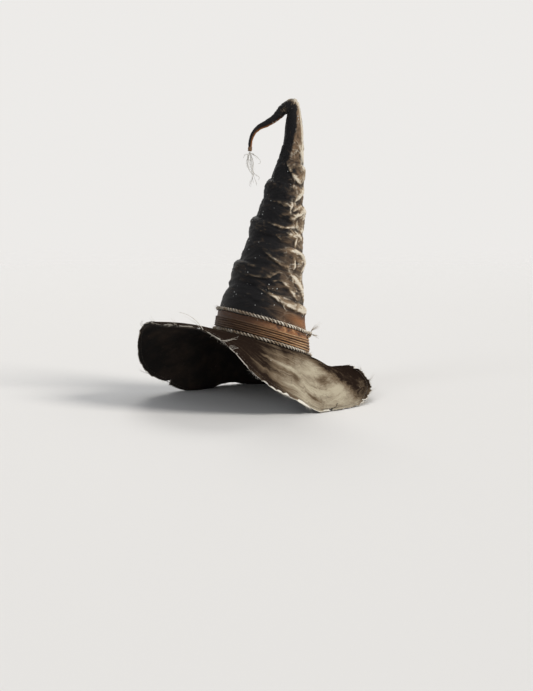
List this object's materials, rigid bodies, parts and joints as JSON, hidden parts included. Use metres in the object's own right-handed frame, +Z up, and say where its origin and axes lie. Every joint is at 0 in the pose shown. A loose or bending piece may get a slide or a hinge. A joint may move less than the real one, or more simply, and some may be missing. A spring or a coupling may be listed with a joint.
{
  "type": "witch hat",
  "caption": "Tall slouched leather witch hat with a folded-over tip that lifts, a hanging thread tassel, a wide wavy brim and a band of rope and leather thong round the crown",
  "frame": {"origin": "On the surface that the hat stands on, under the middle of the outline of the hat", "axes": "+Z is up, from the brim to the tip; -Y is the side that faces the camera in the picture; +X is to the right in the picture, the side with the rope knot"},
  "size_m": [0.4472, 0.4148, 0.5643],
  "materials": {
    "crown_leather": "worn near-black brown leather with pale rubbed ridges",
    "brim_leather": "pale grey-beige napped leather, scuffed and stained brown",
    "under_leather": "dark matt leather",
    "stiff_canvas": "sized plain-weave canvas",
    "lining_cloth": "plain dark cotton",
    "sweatband_leather": "smooth tan leather",
    "strap_leather": "reddish-brown creased leather",
    "thong_leather": "tan dry leather thong",
    "rope_hemp": "twisted hemp rope",
    "tassel_thread": "pale grey frayed thread",
    "wire_steel": "plain drawn steel wire"
  },
  "bodies": {
    "hat": {"crown_leather": "crown_leather", "crown_canvas": "stiff_canvas", "crown_lining": "lining_cloth", "sweatband": "sweatband_leather", "brim_top": "brim_leather", "brim_canvas": "stiff_canvas", "brim_under": "under_leather", "brim_wire": "wire_steel", "brim_wire_sleeve": "wire_steel", "band_strap": "strap_leather", "band_thong": "thong_leather", "band_rope": "rope_hemp", "band_knot": "rope_hemp"},
    "tip": {"tip_tail": "crown_leather", "tip_wire": "wire_steel", "tip_binding": "tassel_thread"},
    "tassel": {"tassel_threads": "tassel_thread"}
  },
  "joints": [
    {"name": "tip_fold", "type": "hinge", "parent": "hat", "child": "tip", "pos_m": [0.07167, 0.0103, 0.5515], "axis": [0, 1, 0], "range_deg": [0, 60]},
    {"name": "tassel_swing", "type": "hinge", "parent": "tip", "child": "tassel", "pos_m": [-0.00873, 0.0103, 0.4647], "axis": [0, 1, 0], "range_deg": [-28, 60]}
  ]
}
